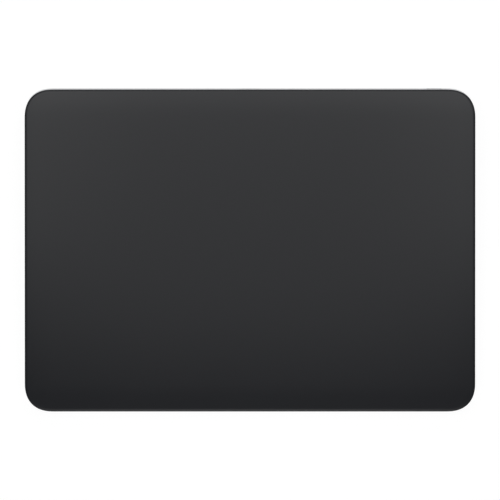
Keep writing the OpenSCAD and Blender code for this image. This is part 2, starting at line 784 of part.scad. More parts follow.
module rail_screws() {
    color([0.3, 0.3, 0.32])
    on_deck()
        for (p = rail_points) translate([p.x, p.y, under_w - rail_t + small_head.y + screw_gap])
            rotate([180, 0, 0])
                screw(small_screw_r, rail_t + stiffener_t - small_head.y - 2 * screw_gap, small_head);
}

// Ribbon from the sensor board, folded back under itself to the main board.
sensor_flex_x = chip_window_x - sensor_flex_w / 2;
sensor_flex_y = deck_point(chip_window_v, stiffener_w).x;
module sensor_flex() {
    board_w = stiffener_w - ribbon_t / 2;
    fold_z = (ribbon_z + deck_point(chip_window_v, board_w).y) / 2;
    color([0.75, 0.5, 0.15])
    across(sensor_flex_x, sensor_flex_w)
        polygon(strip([
            deck_point(chip_window_v - conn_l, board_w),
            deck_point(chip_window_v + conn_l, board_w),
            [sensor_flex_y + 2 * conn_l, fold_z],
            [sensor_flex_y + conn_l, ribbon_z],
            [sensor_flex_y, ribbon_z]], ribbon_t));
}

// Gel pad: between the stiffener and the free end of a beam.
module gel_pad(corner) {
    color([0.7, 0.75, 0.8])
    at_beam(corner)
        translate([gel_side / 2 - clamp_size.x / 2 - tongue_size.x, 0, beam_w])
            linear_extrude(gel_t) rounded([gel_side, gel_side], gel_side / 6);
}

// Beam: a strip clamped by two screws, with a tongue that bends under the deck.
module beam_plate(corner) {
    tip_r = tongue_size.y / 6;
    color([0.7, 0.71, 0.72])
    at_beam(corner)
        translate([0, 0, seat_w]) linear_extrude(beam_t) difference() {
            union() {
                rounded(clamp_size, clamp_size.x / 6);
                translate([-tongue_size.x / 2, 0])
                    rounded([tongue_size.x + clamp_size.x, tongue_size.y], tip_r);
            }
            for (s = [-1, 1]) translate([0, s * clamp_pitch / 2]) circle(clamp_screw_r + screw_gap);
        }
}

// Strain gauge: under the root of a tongue, where it bends most.
module strain_gauge(corner) {
    color([0.8, 0.55, 0.2])
    at_beam(corner)
        translate([-clamp_size.x / 2 - gauge_size.x / 2, 0, seat_w - gauge_t])
            block([gauge_size.x, gauge_size.y, gauge_t]);
}

module beam_screws() {
    color([0.3, 0.3, 0.32])
    on_deck()
        for (p = clamp_points) translate([p.x, p.y, seat_w - clamp_web])
            rotate([180, 0, 0]) screw(clamp_screw_r, clamp_web + beam_t, clamp_head);
}

// Shaker: a comb of core teeth, each in its coil, on a bracket that is screwed to the floor.
module shaker_bracket() {
    color([0.72, 0.73, 0.74])
    on_deck()
    difference() {
        translate([0, yoke_v + (yoke_d + flange_d) / 2, shaker_seat_w])
            linear_extrude(bracket_t) rounded([rail_l, yoke_d + flange_d], bracket_t);
        for (p = shaker_points) translate([p.x, p.y, shaker_seat_w - cut])
            cylinder(r = small_screw_r + screw_gap, h = bracket_t + 2 * cut);
    }
}

module shaker_core() {
    color([0.4, 0.4, 0.42])
    on_deck() {
        translate([0, yoke_v + yoke_d / 2, core_under_w])
            block([rail_l - coil_pitch + tooth_size.x, yoke_d, core_t]);
        for (p = shaker_points) translate([p.x, yoke_v - tooth_size.y / 2, core_under_w])
            block([tooth_size.x, tooth_size.y, core_t]);
    }
}

module shaker_coil(i) {
    tooth_room = [tooth_size.x + 2 * screw_gap, core_t + 2 * screw_gap];
    winding = [tooth_size.x + 2 * coil_side, core_t + 2 * coil_wall];
    color([0.72, 0.42, 0.2])
    on_deck()
        translate([shaker_points[i].x, yoke_v - (tooth_size.y - coil_l) / 2, core_under_w + core_t / 2])
            rotate([90, 0, 0]) linear_extrude(coil_l) difference() {
                rounded(winding, coil_wall * 2);
                square(tooth_room, center = true);
            }
}

module shaker_screws() {
    color([0.3, 0.3, 0.32])
    on_deck()
        for (p = shaker_points) translate([p.x, p.y, core_under_w]) small_screw(bracket_t);
}

// Ribbon from the shaker's flange to the front of the main board.
shaker_flex_x = shaker_points[coil_count - 1].x + small_head.x + set_gap;
shaker_flex_z = deck_point(flange_v + flange_d, core_under_w).y + ribbon_t / 2;
shaker_flex_y = main_y + flange_d;
module shaker_flex() {
    color([0.75, 0.5, 0.15])
    from_rear(shaker_flex_y, flange_d - set_gap)
        polygon(strip([
            [shaker_flex_x, shaker_flex_z],
            [rail_l / 2 + ribbon_run, shaker_flex_z],
            [main_x - ribbon_run / 2, ribbon_z],
            [main_x + conn_l, ribbon_z]], ribbon_t));
}

// Battery: a pouch with rounded edges and a thin terrace, on two strips of tape.
module battery_cell() {
    color([0.2, 0.2, 0.22])
    translate([cell_x, cell_y + cell_size.y / 2, 0]) {
        translate([0, 0, cell_z + cell_size.z / 2])
            across(0, cell_size.x) rounded([cell_size.y, cell_size.z], cell_r);
        translate([cell_size.x - cut, -cell_size.y / 2 + cell_r, terrace_z])
            cube([terrace_size.x + cut, cell_size.y - 2 * cell_r, terrace_size.y]);
    }
}

module battery_tape() {
    tape_w = cell_size.y / 6;
    color([0.9, 0.9, 0.85])
    for (s = [-1, 1])
        translate([cell_x + cell_size.x / 2, cell_y + cell_size.y / 2 + s * cell_size.y / 4, floor_top])
            block([cell_size.x - 2 * cell_r, tape_w, tape_t]);
}

module battery_board() {
    color([0.1, 0.3, 0.18])
    translate([guard_x, guard_y, guard_z]) {
        cube(guard_size);
        for (k = [1, 2]) translate([guard_size.x / 2, k * guard_size.y / 6, guard_size.z])
            block([guard_size.x / 2, guard_size.y / 9, chip_t]);
    }
}

// Ribbon from the battery's board to the main board.
module battery_flex() {
    guard_top = guard_z + guard_size.z + ribbon_t / 2;
    color([0.75, 0.5, 0.15])
    from_rear(battery_flex_y, battery_flex_w)
        polygon(strip([
            [guard_x + set_gap, guard_top],
            [guard_x + guard_size.x, guard_top],
            [main_x - ribbon_run / 2, ribbon_z],
            [main_x + conn_l, ribbon_z]], ribbon_t));
}

module main_board() {
    color([0.1, 0.3, 0.18])
    difference() {
        translate([main_x, main_y, main_z]) cube(main_size);
        for (p = main_points) translate([p.x, p.y, main_z - cut])
            cylinder(r = small_screw_r + screw_gap, h = main_size.z + 2 * cut);
    }
}

// Chips: the processor, the shaker's driver, the charger and a choke, each by its place as a share
// of the board, its side and its height.
module main_chips() {
    color([0.12, 0.12, 0.13])
    translate([main_x, main_y, main_top])
        for (chip = [
            [5 / 9, 4 / 7, processor_w, chip_t],
            [1 / 2, 1 / 8, driver_w, chip_t],
            [1 / 3, 1 / 4, charger_w, chip_t],
            [7 / 8, 3 / 8, choke_w, choke_t]])
            translate([chip.x * main_size.x, chip.y * main_size.y, 0]) block([chip.z, chip.z, chip[3]]);
}

// Shield: a folded can over the radio, open below.
module radio_shield() {
    color([0.75, 0.76, 0.77])
    translate([
        main_x + main_size.x - shield_side - shield_size.x / 2,
        main_y + main_size.y - shield_end - shield_size.y / 2,
        main_top])
    difference() {
        block(shield_size);
        translate([0, 0, -cut])
            block(shield_size - [2 * shield_t, 2 * shield_t, shield_t - cut]);
    }
}

// Connectors: one under the end of each ribbon.
module board_connectors() {
    color([0.2, 0.2, 0.21])
    translate([0, 0, main_top]) {
        translate([main_x + set_gap, shaker_flex_y - flange_d + set_gap, 0])
            cube([conn_l - set_gap, flange_d - set_gap, conn_t]);
        translate([main_x + set_gap, battery_flex_y - battery_flex_w, 0])
            cube([conn_l - set_gap, battery_flex_w, conn_t]);
        translate([main_x + set_gap, port_flex_y - port_flex_w, 0])
            cube([conn_l - set_gap, port_flex_w, conn_t]);
        translate([sensor_flex_x, sensor_flex_y, 0])
            cube([sensor_flex_w, conn_l, conn_t]);
        translate([switch_tail_x, main_y + main_size.y - 2 * conn_l, 0])
            cube([switch_flex_w, conn_l, conn_t]);
    }
}

module board_screws() {
    color([0.3, 0.3, 0.32])
    for (p = main_points) translate([p.x, p.y, main_top]) small_screw(main_size.z);
}

// Antenna: a foil on a plastic carrier, over the window in the floor.
module antenna_carrier() {
    color([0.85, 0.85, 0.82])
    translate([carrier_x + carrier_size.x / 2, carrier_y + carrier_size.y / 2, floor_top])
        linear_extrude(carrier_size.z) rounded([carrier_size.x, carrier_size.y], carrier_size.x / 8);
}

// Foil: an arm with a grounding stub, and a feed that bends up to the main board.
module antenna() {
    arm_w = carrier_size.x / 5;
    feed_y = carrier_y + carrier_size.y * 2 / 3;
    color([0.8, 0.5, 0.25]) {
        translate([carrier_x, carrier_y, carrier_top]) {
            translate([3 * arm_w, arm_w, 0]) cube([arm_w, carrier_size.y - 2 * arm_w, foil_t]);
            translate([arm_w, arm_w, 0]) cube([3 * arm_w, arm_w, foil_t]);
        }
        from_rear(feed_y, arm_w)
            polygon(strip([
                [carrier_x + 3.5 * arm_w, carrier_top + foil_t / 2],
                [carrier_x, carrier_top + foil_t / 2],
                [inner_x, main_top + foil_t / 2],
                [inner_x - arm_w, main_top + foil_t / 2]], foil_t));
    }
}

// Port: a drawn shell with a tongue and its contacts, strapped down on its seat.
module port_shell() {
    color([0.7, 0.71, 0.72])
    at_port() linear_extrude(port_l) difference() {
        stadium(2 * port_half);
        stadium(port_mouth);
    }
}

module port_tongue() {
    plug_l = port_l - port_tongue_size.y - 2 * port_recess;
    play = [screw_gap, screw_gap];
    color([0.15, 0.15, 0.16])
    at_port() {
        translate([0, 0, port_l - plug_l]) linear_extrude(plug_l) stadium(port_mouth - play);
        translate([0, -port_tongue_size.z / 2, port_l - plug_l - port_tongue_size.y])
            translate([-port_tongue_size.x / 2, 0, 0])
                cube([port_tongue_size.x, port_tongue_size.z, port_tongue_size.y + cut]);
    }
}

module port_contacts() {
    contact = [contact_pitch / 2, contact_t, port_tongue_size.y * 3 / 4];
    color([0.85, 0.7, 0.35])
    at_port()
        for (k = [0:contact_count - 1], s = [-1, 1])
            translate([
                (k - (contact_count - 1) / 2) * contact_pitch - contact.x / 2,
                s > 0 ? port_tongue_size.z / 2 : -port_tongue_size.z / 2 - contact.y,
                2 * port_recess + set_gap])
                cube(contact);
}

// Strap over the shell, with a lug on a boss at each side.
module port_bracket() {
    lug_end = port_screw_pitch / 2 + small_head.x + set_gap;
    shoulder = port_half.x + strap_t + set_gap;
    strap_top = port_z + port_half.y + strap_t / 2;
    color([0.72, 0.73, 0.74])
    difference() {
        from_rear(strap_y + strap_d / 2, strap_d)
            polygon(strip([
                [-lug_end, lug_z], [-shoulder, lug_z], [-port_half.x, strap_top],
                [port_half.x, strap_top], [shoulder, lug_z], [lug_end, lug_z]], strap_t));
        for (p = port_points) translate([p.x, p.y, lug_z - cut])
            cylinder(r = small_screw_r + screw_gap, h = 2 * cut);
    }
}

module port_screws() {
    color([0.3, 0.3, 0.32])
    for (p = port_points) translate([p.x, p.y, lug_z + strap_t / 2]) small_screw(strap_t);
}

// Ribbon from the port's tail, along the rear of the battery, to the main board.
module port_flex() {
    tail_z = port_z - port_half.y + ribbon_t / 2;
    low_z = floor_top + ribbon_t / 2;
    color([0.75, 0.5, 0.15])
    from_rear(port_flex_y, port_flex_w)
        polygon(strip([
            [-port_half.x, tail_z],
            [port_half.x, tail_z],
            [port_half.x + ribbon_run, low_z],
            [main_x - 2 * ribbon_run, low_z],
            [main_x - ribbon_run / 2, ribbon_z],
            [main_x + conn_l, ribbon_z]], ribbon_t));
}

// Slider: a nub in the slot, on a flange that stays behind the wall, with a fork for the knob.
module switch_slider() {
    tine = [knob_size.x / 2, knob_size.y + set_gap, knob_size.z];
    tine_x = knob_size.x / 2 + screw_gap + tine.x / 2;
    color([0.8, 0.81, 0.82])
    at_switch() translate([flange_x, 0, 0])
    difference() {
        union() {
            translate([0, 0, -nub_proud]) stadium_bevel(nub_size, -slot_bevel, slot_bevel);
            translate([0, 0, slot_bevel - nub_proud])
                linear_extrude(nub_proud - slot_bevel + flange_back) stadium(nub_size);
            translate([0, 0, switch_web + slot_gap])
                linear_extrude(switch_flange_t) square([flange_l, flange_h], center = true);
            for (s = [-1, 1]) translate([s * tine_x, 0, flange_back - slot_gap]) block(tine);
        }
        indicator_inlay();
    }
}

// Indicator: a green inlay in the flange, which shows in the slot beside the nub.
module indicator_inlay() {
    inlay = [(flange_l - nub_size.x) / 2 - 2 * slot_gap, slot_h];
    translate([nub_size.x / 2 + slot_gap + inlay.x / 2, 0, switch_web + slot_gap])
        linear_extrude(switch_flange_t / 3) square(inlay, center = true);
}
module switch_indicator() {
    color([0.2, 0.75, 0.3])
    at_switch() translate([flange_x, 0, 0]) indicator_inlay();
}

// Electrical switch: a case with a slot that the knob runs in.
module switch_body() {
    knob_room = [knob_size.x + switch_travel + 2 * run_gap, knob_size.y + run_gap];
    color([0.15, 0.15, 0.16])
    at_switch()
    difference() {
        translate([0, 0, switch_front]) block(switch_size);
        translate([0, 0, switch_front - cut])
            linear_extrude(switch_size.z / 2 + cut) square(knob_room, center = true);
    }
}

module switch_knob() {
    color([0.9, 0.9, 0.88])
    at_switch() translate([flange_x, 0, flange_back + run_gap])
        block([knob_size.x, knob_size.y, knob_size.z + switch_size.z / 2 - screw_gap]);
}

// Bracket behind the switch: a folded plate, screwed to the floor.
module switch_bracket() {
    color([0.72, 0.73, 0.74])
    difference() {
        across(switch_plate_x, switch_size.x)
            polygon(strip([
                deck_point(switch_plate_v, switch_size.y / 2 - switch_drop),
                switch_fold,
                [switch_fold.x - switch_foot_d, switch_fold.y]], bracket_t));
        for (p = switch_points) translate([p.x, p.y, floor_top - cut])
            cylinder(r = small_screw_r + screw_gap, h = bracket_t + 2 * cut);
    }
}

module switch_screws() {
    grip = bracket_t + floor_t - screw_gap;
    color([0.3, 0.3, 0.32])
    for (p = switch_points) translate([p.x, p.y, floor_top + bracket_t])
        screw(small_screw_r, grip, small_head);
}

// Ribbon behind the switch, with a tail past the bracket to the main board.
module switch_flex() {
    panel_v = wall_v - switch_back - ribbon_t / 2;
    panel_top = deck_point(panel_v, switch_size.y / 2 - switch_drop);
    panel_low = deck_point(panel_v, -switch_size.y / 2 - switch_drop);
    color([0.75, 0.5, 0.15]) {
        across(switch_tail_x, switch_flex_w + switch_size.x)
            polygon(strip([panel_top, panel_low], ribbon_t));
        across(switch_tail_x, switch_flex_w)
            polygon(strip([
                panel_top,
                panel_low,
                [main_y + main_size.y + ribbon_run / 2, ribbon_z],
                [main_y + main_size.y - 2 * conn_l, ribbon_z]], ribbon_t));
    }
}

housing();
bottom_cover();
touch_glass();
deck_bond();
sensor_board();
touch_controllers();
deck_stiffener();
attraction_rail();
rail_screws();
sensor_flex();
beam_screws();
shaker_bracket();
shaker_core();
shaker_screws();
shaker_flex();
battery_cell();
battery_tape();
battery_board();
battery_flex();
main_board();
main_chips();
radio_shield();
board_connectors();
board_screws();
antenna_carrier();
antenna();
port_shell();
port_tongue();
port_contacts();
port_bracket();
port_screws();
port_flex();
switch_slider();
switch_indicator();
switch_body();
switch_knob();
switch_bracket();
switch_screws();
switch_flex();
for (c = [0:3]) {
    foot(c);
    gel_pad(c);
    beam_plate(c);
    strain_gauge(c);
}
for (i = [0:coil_count - 1])
    shaker_coil(i);
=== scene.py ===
"""A desk trackpad: a black glass deck that floats in a wedge of aluminium, seen from straight above."""

import math

import bmesh
import bpy
import numpy as np
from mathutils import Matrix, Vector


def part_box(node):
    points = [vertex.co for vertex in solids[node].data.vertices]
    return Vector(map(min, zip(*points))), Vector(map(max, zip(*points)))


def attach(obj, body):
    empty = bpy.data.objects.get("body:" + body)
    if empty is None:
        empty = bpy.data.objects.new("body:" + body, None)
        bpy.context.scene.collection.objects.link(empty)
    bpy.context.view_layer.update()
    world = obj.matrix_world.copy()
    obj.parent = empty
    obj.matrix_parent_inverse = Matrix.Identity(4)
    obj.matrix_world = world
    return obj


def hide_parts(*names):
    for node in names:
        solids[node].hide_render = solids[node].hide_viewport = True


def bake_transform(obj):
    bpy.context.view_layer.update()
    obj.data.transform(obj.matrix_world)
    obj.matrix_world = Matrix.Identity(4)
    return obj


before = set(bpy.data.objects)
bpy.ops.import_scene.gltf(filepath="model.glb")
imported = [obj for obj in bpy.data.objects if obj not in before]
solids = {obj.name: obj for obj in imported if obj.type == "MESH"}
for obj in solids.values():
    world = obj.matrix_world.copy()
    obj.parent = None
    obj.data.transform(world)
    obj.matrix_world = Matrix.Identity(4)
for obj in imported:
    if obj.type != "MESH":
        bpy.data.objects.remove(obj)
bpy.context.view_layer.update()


# Housing: a shallow tub milled from one slab of aluminium, thin at the front and thick at the
# rear, bead blasted and clear anodised. Every other piece is glued or screwed into it.
MM = 0.001
SAME_SPOT = 0.001 * MM


class Wire:
    """A socket in a material. Arithmetic on it adds Math nodes, and node() adds any other node."""

    def __init__(self, tree, socket=None):
        self.tree = tree
        self.socket = socket

    def node(self, kind, sockets, output=0, stops=(), **settings):
        """Adds a node: its settings and ramp stops first, then the values or links of its sockets."""
        made = self.tree.nodes.new("ShaderNode" + kind)
        for name, value in settings.items():
            setattr(made, name, value)
        for number, (spot, colour) in enumerate(stops):
            marks = made.color_ramp.elements
            mark = marks[number] if number < len(marks) else marks.new(spot)
            mark.position, mark.color = spot, colour
        for name, value in sockets.items():
            if isinstance(value, Wire):
                self.tree.links.new(value.socket, made.inputs[name])
            else:
                made.inputs[name].default_value = value
        return Wire(self.tree, made.outputs[output] if made.outputs else None)

    def reckon(self, operation, first, second):
        """Adds a Math node of that operation on two numbers or wires."""
        return self.node("Math", {0: first, 1: second}, operation=operation)

    def __add__(self, other):
        return self.reckon("ADD", self, other)

    def __radd__(self, other):
        return self.reckon("ADD", other, self)

    def __sub__(self, other):
        return self.reckon("SUBTRACT", self, other)

    def __rsub__(self, other):
        return self.reckon("SUBTRACT", other, self)

    def __mul__(self, other):
        return self.reckon("MULTIPLY", self, other)

    def __rmul__(self, other):
        return self.reckon("MULTIPLY", other, self)

    def __gt__(self, other):
        return self.reckon("GREATER_THAN", self, other)

    def __lt__(self, other):
        return self.reckon("LESS_THAN", self, other)


def new_finish(name, constants):
    """A material with one Principled surface, whose constants are set on its own sockets, and the
    surface's Object coordinates in millimetres."""
    made = bpy.data.materials.new(name)
    made.use_nodes = True
    surface = made.node_tree.nodes["Principled BSDF"]
    for socket, value in constants.items():
        surface.inputs[socket].default_value = value
    metres = Wire(made.node_tree).node("TexCoord", {}, output="Object")
    return made, metres.node("VectorMath", {0: metres, "Scale": 1 / MM}, operation="SCALE")


def feed(material, feeds):
    """Links what varies over a surface to the sockets of its material."""
    surface = material.node_tree.nodes["Principled BSDF"]
    for socket, wire in feeds.items():
        material.node_tree.links.new(wire.socket, surface.inputs[socket])
    return material


def noise(place, per_mm, detail=2.0):
    """Soft noise from 0 to 1, with that many features to a millimetre."""
    return place.node("TexNoise", {"Vector": place, "Scale": per_mm, "Detail": detail})


def tint(share, first, second):
    """Colour mixed from two, by the share of the second at each point."""
    first, second = (c if isinstance(c, Wire) else (*c, 1.0) for c in (first, second))
    return share.node("Mix", {0: share, 6: first, 7: second}, output=2, data_type="RGBA")


def relief(height, depth):
    """Normal of a surface whose height from 0 to 1 stands up by depth, in millimetres."""
    return height.node("Bump", {"Height": height, "Distance": depth * MM})


def mottle(material, pattern, colours, roughness, depth=0.0, clouds=None):
    """Finish that follows a pattern from 0 to 1: colour and roughness run from the first to the
    second of each pair, and the surface stands up by depth. Colour follows clouds where given."""
    smooth, rough = roughness
    feeds = {
        "Base Color": tint(clouds or pattern, *colours),
        "Roughness": smooth + (rough - smooth) * pattern,
    }
    if depth:
        feeds["Normal"] = relief(pattern, depth)
    feed(material, feeds)


def dress(material, *names):
    """Puts a material on solids, also on one that a finer piece stands for."""
    for name in names:
        solids[name].material_slots[0].material = material


def smooth_copy(node, axis=(0, 0, 1), cuts=()):
    """A solid's mesh with its loose triangles merged into one skin, and cut across axis at the
    heights in cuts, in millimetres, where it has to bend."""
    mesh = solids[node].data.copy()
    skin = bmesh.new()
    skin.from_mesh(mesh)
    bmesh.ops.remove_doubles(skin, verts=skin.verts, dist=SAME_SPOT)
    for height in cuts:
        every = [*skin.verts, *skin.edges, *skin.faces]
        spot = [height * MM * a for a in axis]
        bmesh.ops.bisect_plane(skin, geom=every, dist=SAME_SPOT, plane_co=spot, plane_no=axis)
    skin.to_mesh(mesh)
    skin.free()
    mesh.attributes.remove(mesh.attributes["custom_normal"])
    return mesh


def new_piece(name, mesh, material, sharp=30):
    """An object of that mesh, smooth but for edges that turn by more than sharp degrees."""
    mesh.materials.clear()
    mesh.materials.append(material)
    mesh.shade_smooth()
    mesh.set_sharp_from_angle(angle=math.radians(sharp))
    made = bpy.data.objects.new(name, mesh)
    bpy.context.scene.collection.objects.link(made)
    return made


aluminium, place = new_finish(
    "blasted_aluminium",
    {"Metallic": 1.0, "Specular Tint": (0.84, 0.845, 0.855, 1.0)},
)
blasting = noise(place, 9.0, 3.0)
mottle(
    aluminium,
    blasting,
    colours=((0.6, 0.605, 0.62), (0.64, 0.645, 0.658)),
    roughness=(0.34, 0.48),
    depth=0.006,
    clouds=noise(place, 0.05),
)
dress(aluminium, "housing")
housing = new_piece("milled_housing", smooth_copy("housing"), aluminium)
flat_faces = housing.modifiers.new("flat faces stay flat", "WEIGHTED_NORMAL")
flat_faces.keep_sharp = True
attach(housing, "base")
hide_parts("housing")


# Antenna: a bent copper foil on a moulded polymer block, glued over a window in the tub's floor
# so that the radio can see out through the cover.
carrier_plastic, place = new_finish("carrier_plastic", {"IOR": 1.5})
grain = noise(place, 3.0, 3.0)
mottle(
    carrier_plastic,
    grain,
    colours=((0.58, 0.575, 0.54), (0.64, 0.635, 0.6)),
    roughness=(0.45, 0.6),
    depth=0.01,
    clouds=noise(place, 0.2),
)
copper_foil, place = new_finish("copper_foil", {"Metallic": 1.0})
tarnish = noise(place, 0.5, 4.0)
mottle(
    copper_foil,
    tarnish,
    colours=((0.62, 0.29, 0.14), (0.5, 0.2, 0.09)),
    roughness=(0.22, 0.42),
)
dress(carrier_plastic, "antenna_carrier")
dress(copper_foil, "antenna")


# Force beams: four spring-steel cantilevers, each clamped to the floor by two screws from below,
# with a foil gauge glued at its root. The deck stands on their free ends, and they bend under it.
CORNERS = {
    "front_left": (-1, -1),
    "front_right": (1, -1),
    "rear_left": (-1, 1),
    "rear_right": (1, 1),
}
CLAMP_EDGE = 64.0
PAD_EDGE = 57.0
BEAM_CUTS = 15


def stretched(place, factors):
    """Coordinates multiplied along each axis, so that a pattern on them is drawn out or packed."""
    return place.node("VectorMath", {0: place, 1: factors}, operation="MULTIPLY")


def stripes(place, scale, axis, wander=0.0):
    """Waves from 0 to 1 that follow each other along the axis named, and may wander."""
    sockets = {"Vector": place, "Scale": scale, "Distortion": wander}
    return place.node("TexWave", sockets, bands_direction=axis)


spring_steel, place = new_finish("rolled_spring_steel", {"Metallic": 1.0})
rolling = noise(stretched(place, (0.15, 6.0, 6.0)), 1.0, 3.0)
mottle(
    spring_steel,
    rolling,
    colours=((0.4, 0.405, 0.42), (0.5, 0.505, 0.515)),
    roughness=(0.25, 0.4),
    depth=0.003,
)
gauge_foil, place = new_finish("gauge_foil", {"IOR": 1.5})
lines = stripes(place, 0.7, "Y")
grid = lines > 0.55
feed(
    gauge_foil,
    {
        "Base Color": tint(grid, (0.38, 0.17, 0.03), (0.62, 0.45, 0.25)),
        "Metallic": 0.9 * grid,
        "Roughness": 0.45 - 0.15 * grid,
        "Normal": relief(lines, 0.02),
    },
)
screw_steel, place = new_finish("black_plated_screw", {"Metallic": 1.0})
wear = noise(place, 1.5, 4.0)
mottle(
    screw_steel,
    wear,
    colours=((0.055, 0.055, 0.062), (0.12, 0.12, 0.13)),
    roughness=(0.3, 0.5),
)
dress(screw_steel, "beam_screws")
bends = np.linspace(PAD_EDGE, CLAMP_EDGE, BEAM_CUTS)
for corner, (side, _) in CORNERS.items():
    for part, finish, slot in (
        ("beam_plate", spring_steel, "spring_steel"),
        ("strain_gauge", gauge_foil, "gauge_foil"),
    ):
        node = f"{part}_{corner}"
        dress(finish, node)
        strip = new_piece(f"bending_{node}", smooth_copy(node, (1, 0, 0), side * bends), finish)
        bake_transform(strip)
        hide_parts(node)


# Shaker: four coils on the teeth of a steel core, on a bracket that is screwed to the tub's floor.
# Their pull on the rail under the deck gives the jolt that stands for a click.
DECK_DEEP = 114.6
DECK_RISE = 6.0
TILT = math.asin(DECK_RISE / DECK_DEEP)
DECK_Y, DECK_Z = -0.2029, 7.9
COIL_ENDS = (-14.4, -8.9)
COIL_MIDDLE = -3.7
COIL_SIZE, COIL_ROUND = (11.3, 2.0), 0.7
TOOTH_ROOM, TOOTH_ROUND = (6.62, 1.42), 0.2
TURNS = 26
RINGS_TO_A_TURN = 4
WIRE_D = 0.21


def on_deck(x, v, w):
    """Points of the deck's own frame, x across, v up its slope and w square to it, turned by the
    deck's tilt and put at its height over the desk, in metres."""
    y = DECK_Y + v * math.cos(TILT) - w * math.sin(TILT)
    z = DECK_Z + v * math.sin(TILT) + w * math.cos(TILT)
    return np.stack(np.broadcast_arrays(x, y, z), axis=-1) * MM


def quarter_turn(steps):
    """Angles of a quarter of a circle, in even steps."""
    return np.linspace(0.0, np.pi / 2, steps + 1)


def outline(size, reach, inset, power=2.0, steps=8):
    """Rectangle whose corners are quarters of |x|^power + |y|^power = reach^power, drawn in by
    inset, which may differ from ring to ring and from point to point. Counter-clockwise."""
    turn = quarter_turn(steps)
    c, s = np.cos(turn) ** (2 / power), np.sin(turn) ** (2 / power)
    corner = np.concatenate([[c, s], [-s, c], [-c, -s], [s, -c]], axis=1).T
    side = np.repeat([[1, 1], [-1, 1], [-1, -1], [1, -1]], steps + 1, axis=0)
    return side * (np.array(size) / 2 - reach) + (reach - np.asarray(inset))[..., None] * corner


def skin_through(rings, joined=False):
    """Mesh of quads from ring to ring, with a flat face over the first and last ring, or with
    these two joined, as in a tube that closes on itself."""
    rows, count = rings.shape[:2]
    row = np.arange(rows if joined else rows - 1)[:, None] * count
    above = (row + count) % (rows * count)
    spot = np.arange(count)[None, :]
    after = (spot + 1) % count
    quads = np.stack([row + spot, row + after, above + after, above + spot], axis=-1)
    faces = quads.reshape(-1, 4).tolist()
    if not joined:
        faces += [list(range(count))[::-1], list(range((rows - 1) * count, rows * count))]
    mesh = bpy.data.meshes.new("skin")
    mesh.from_pydata(rings.reshape(-1, 3), [], faces)
    return mesh


def winding(middle):
    """Wire wound round a tooth: the outside is the coil's outline, drawn in by the valleys
    between turns, which climb one pitch each time round, and the inside is the tooth's room."""
    along = np.linspace(1.0, 0.0, TURNS * RINGS_TO_A_TURN + 1)[:, None]
    inside = outline(TOOTH_ROOM, TOOTH_ROUND, 0.0)
    count = len(inside)
    phase = TURNS * along + np.arange(count)[None, :] / count
    valley = WIRE_D / 2 * (1.0 - np.abs(np.sin(np.pi * phase)))
    outside = outline(COIL_SIZE, COIL_ROUND, valley)
    section = np.concatenate([outside, np.broadcast_to(inside, (2, count, 2))])
    low, high = COIL_ENDS
    v = np.concatenate([low + (high - low) * along, [[low], [high]]])
    rings = on_deck(middle + section[..., 0], v, COIL_MIDDLE + section[..., 1])
    return skin_through(rings, joined=True)


sheet_steel, place = new_finish("plated_sheet_steel", {"Metallic": 1.0})
rolling = noise(stretched(place, (0.1, 3.0, 3.0)), 1.0, 3.0)
mottle(
    sheet_steel,
    rolling,
    colours=((0.5, 0.505, 0.51), (0.6, 0.605, 0.61)),
    roughness=(0.24, 0.4),
    depth=0.004,
)
core_steel, place = new_finish("oxide_core_steel", {"Metallic": 1.0})
oxide = noise(place, 0.8, 4.0)
mottle(
    core_steel,
    oxide,
    colours=((0.13, 0.13, 0.14), (0.2, 0.195, 0.19)),
    roughness=(0.4, 0.6),
)
layers = stripes(place, 0.9, "Z", wander=0.3)
feed(core_steel, {"Normal": relief(layers, 0.01)})
enamel_wire, place = new_finish(
    "enamelled_wire",
    {"Metallic": 1.0, "Coat Weight": 0.6, "Coat Roughness": 0.1},
)
turn_tone = noise(stretched(place, (0.2, 4.0, 0.2)), 1.0)
mottle(
    enamel_wire,
    turn_tone,
    colours=((0.5, 0.19, 0.075), (0.66, 0.3, 0.13)),
    roughness=(0.2, 0.32),
)


def ribbon_finish(name, across):
    """Amber film over copper tracks: stripes across the ribbon, along the axis named."""
    made, place = new_finish(name, {"Coat Weight": 0.5, "Coat Roughness": 0.12})
    bands = stripes(place, 0.55, across)
    track = bands > 0.45
    film = noise(place, 0.6, 3.0)
    amber = tint(film, (0.4, 0.17, 0.02), (0.47, 0.21, 0.03))
    return feed(
        made,
        {
            "Base Color": tint(track, amber, (0.52, 0.26, 0.07)),
            "Metallic": 0.5 * track,
            "Roughness": 0.36 - 0.08 * track + 0.06 * film,
            "Normal": relief(bands, 0.015),
        },
    )


ribbon_along_x = ribbon_finish("ribbon_along_x", "Y")
dress(sheet_steel, "shaker_bracket")
dress(core_steel, "shaker_core")
dress(screw_steel, "shaker_screws")
dress(ribbon_along_x, "shaker_flex")
for number in (1, 2, 3, 4):
    node = f"shaker_coil_{number}"
    dress(enamel_wire, node)
    low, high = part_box(node)
    turns = winding((low.x + high.x) / 2 / MM)
    coil = new_piece(f"wound_coil_{number}", turns, enamel_wire, sharp=50)
    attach(coil, "base")
    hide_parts(node)


